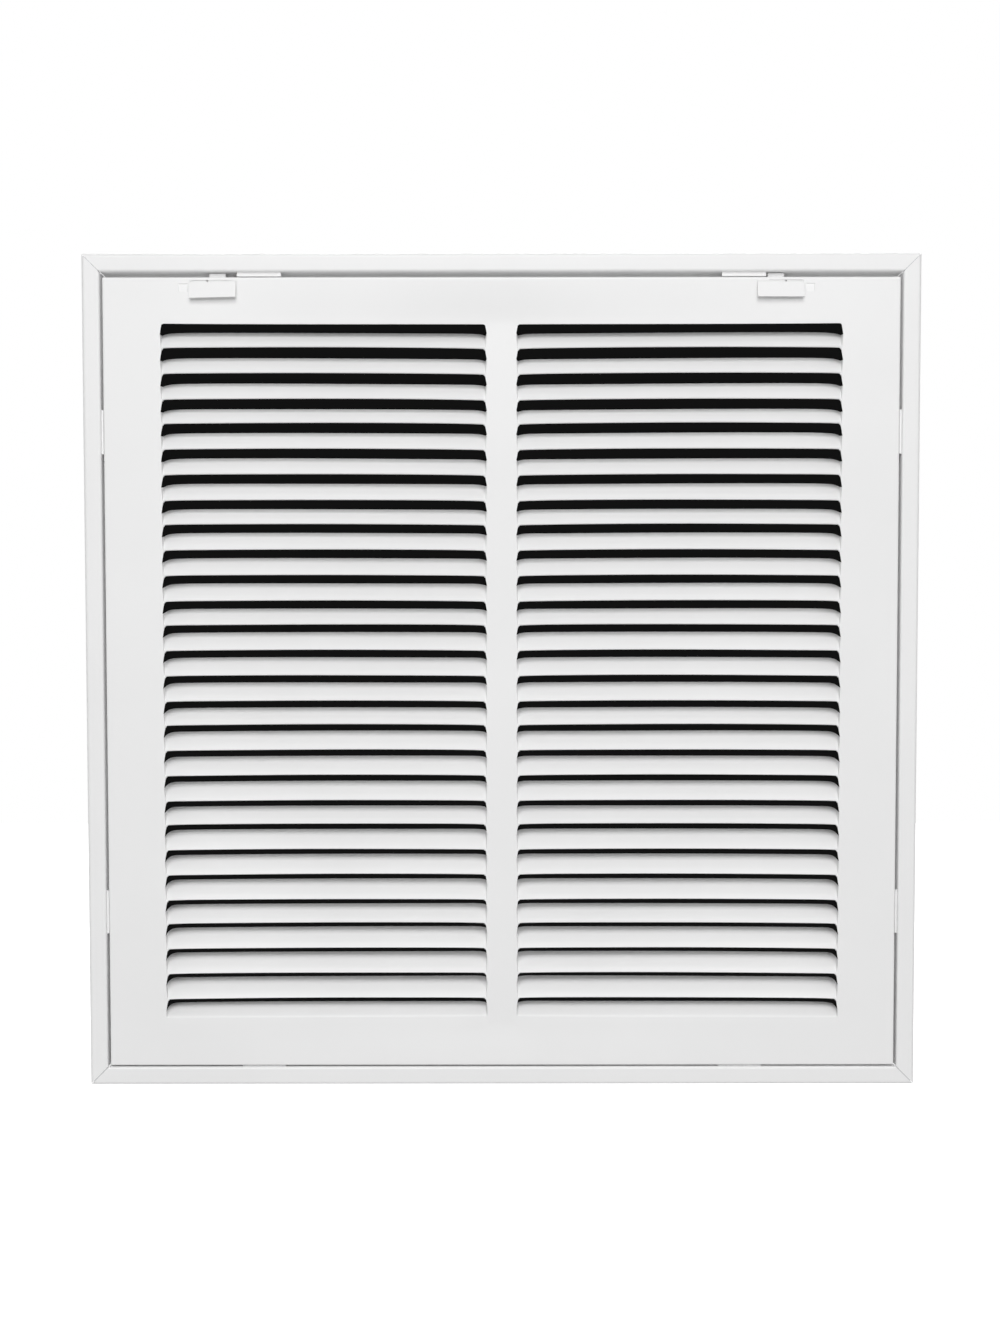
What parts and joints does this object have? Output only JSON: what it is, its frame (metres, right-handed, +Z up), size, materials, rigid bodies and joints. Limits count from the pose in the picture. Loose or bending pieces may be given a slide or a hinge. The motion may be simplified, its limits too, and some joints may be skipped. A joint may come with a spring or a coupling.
{
  "type": "return air filter grille",
  "caption": "White stamped-steel return air filter grille: a square mitred frame with a duct collar and a bottom-hinged louvred door held by two sliding thumb latches.",
  "frame": {"origin": "centre of the bounding box: the middle of the square grille, 9 mm into the wall from the wall plane", "axes": "+X to the right seen from the room, +Y from the room into the wall, +Z up"},
  "size_m": [0.422, 0.0394, 0.422],
  "materials": {
    "frame_paint": "satin white powder coat on sheet steel",
    "door_paint": "satin white powder coat on pressed sheet steel",
    "latch_paint": "satin white powder coat on bent sheet steel",
    "key_zinc": "plain zinc-plated steel"
  },
  "bodies": {
    "frame": {"frame_rail_top": "frame_paint", "frame_rail_right": "frame_paint", "frame_rail_bottom": "frame_paint", "frame_rail_left": "frame_paint", "corner_key_top_left": "key_zinc", "corner_key_top_right": "key_zinc", "corner_key_bottom_right": "key_zinc", "corner_key_bottom_left": "key_zinc"},
    "door": {"grille_door": "door_paint"},
    "latch_left": {"thumb_latch_left": "latch_paint"},
    "latch_right": {"thumb_latch_right": "latch_paint"}
  },
  "joints": [
    {"name": "door_hinge", "type": "hinge", "parent": "frame", "child": "door", "pos_m": [0, -0.0174, -0.2009], "axis": [1, 0, 0], "range_deg": [0, 175]},
    {"name": "latch_left_slide", "type": "slide", "parent": "door", "child": "latch_left", "axis": [1, 0, 0], "range_m": [0, 0.0128]},
    {"name": "latch_right_slide", "type": "slide", "parent": "door", "child": "latch_right", "axis": [-1, 0, 0], "range_m": [0, 0.008]}
  ]
}
